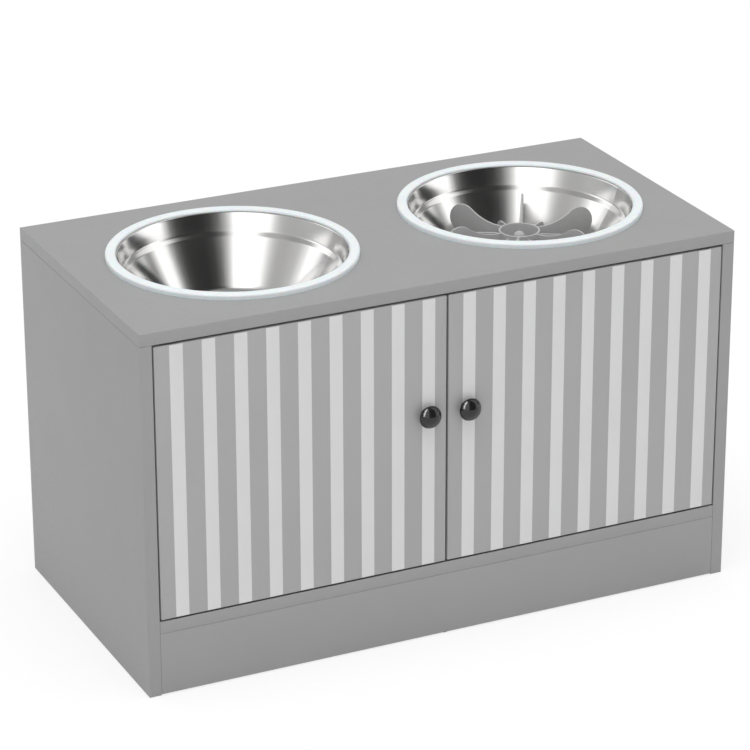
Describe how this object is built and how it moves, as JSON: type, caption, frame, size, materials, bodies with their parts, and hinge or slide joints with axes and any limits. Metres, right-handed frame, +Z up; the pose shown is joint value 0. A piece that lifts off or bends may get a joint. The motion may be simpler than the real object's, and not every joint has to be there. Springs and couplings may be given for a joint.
{
  "type": "raised double pet feeder",
  "caption": "Raised pet feeder cabinet: lift-out steel bowls in the top, one with a slow-feeding insert, and striped doors over a storage space.",
  "frame": {"origin": "on the floor, at the centre of the bounding box with the doors shut", "axes": "+Z up, +X to the right across the doors, -Y towards the front where the doors open"},
  "size_m": [0.6, 0.3146, 0.36],
  "materials": {
    "board_top": "satin grey coated fibreboard",
    "board": "satin grey coated fibreboard",
    "door_board": "satin grey coated fibreboard",
    "back_board": "grey faced hardboard",
    "stripe_print": "satin light grey print",
    "knob_plastic": "high gloss black",
    "stainless_steel": "bright polished stainless steel",
    "ring_rubber": "smooth pale silicone",
    "feeder_plastic": "satin grey moulded plastic",
    "suction_rubber": "clear grey soft vinyl",
    "plated_steel": "bright zinc plate",
    "zinc_alloy": "cast zinc",
    "beech": "bare beech",
    "white_plastic": "moulded nylon",
    "ferrite": "bare ferrite",
    "black_plastic": "moulded plastic"
  },
  "bodies": {
    "cabinet": {"top_panel": "board_top", "left_side_panel": "board", "right_side_panel": "board", "bottom_panel": "board", "plinth_board": "board", "back_panel": "back_board", "plinth_glide": "black_plastic", "cam_bolts": "plated_steel", "cam_locks": "zinc_alloy", "dowels": "beech", "pivot_bushes": "white_plastic", "catch_housings": "white_plastic", "catch_magnets": "ferrite", "catch_screws": "plated_steel"},
    "left_door": {"left_door": "door_board", "left_door_stripes": "stripe_print", "left_door_pins": "plated_steel", "left_knob": "knob_plastic", "left_knob_screw": "plated_steel", "left_strike_plate": "plated_steel", "left_strike_screw": "plated_steel"},
    "right_door": {"right_door": "door_board", "right_door_stripes": "stripe_print", "right_door_pins": "plated_steel", "right_knob": "knob_plastic", "right_knob_screw": "plated_steel", "right_strike_plate": "plated_steel", "right_strike_screw": "plated_steel"},
    "left_bowl": {"left_bowl": "stainless_steel", "left_bowl_ring": "ring_rubber"},
    "right_bowl": {"right_bowl": "stainless_steel", "right_bowl_ring": "ring_rubber"},
    "slow_feeder": {"slow_feeder": "feeder_plastic", "feeder_suction_cup": "suction_rubber"}
  },
  "joints": [
    {"name": "left_door_hinge", "type": "hinge", "parent": "cabinet", "child": "left_door", "pos_m": [-0.2705, -0.13675, 0.208], "axis": [0, 0, -1], "range_deg": [0, 140]},
    {"name": "right_door_hinge", "type": "hinge", "parent": "cabinet", "child": "right_door", "pos_m": [0.2705, -0.13675, 0.208], "axis": [0, 0, 1], "range_deg": [0, 140]},
    {"name": "left_bowl_lift", "type": "slide", "parent": "cabinet", "child": "left_bowl", "axis": [0, 0, 1], "range_m": [0, 0.1]},
    {"name": "right_bowl_lift", "type": "slide", "parent": "cabinet", "child": "right_bowl", "axis": [0, 0, 1], "range_m": [0, 0.1]},
    {"name": "slow_feeder_lift", "type": "slide", "parent": "right_bowl", "child": "slow_feeder", "axis": [0, 0, 1], "range_m": [0, 0.08]}
  ]
}
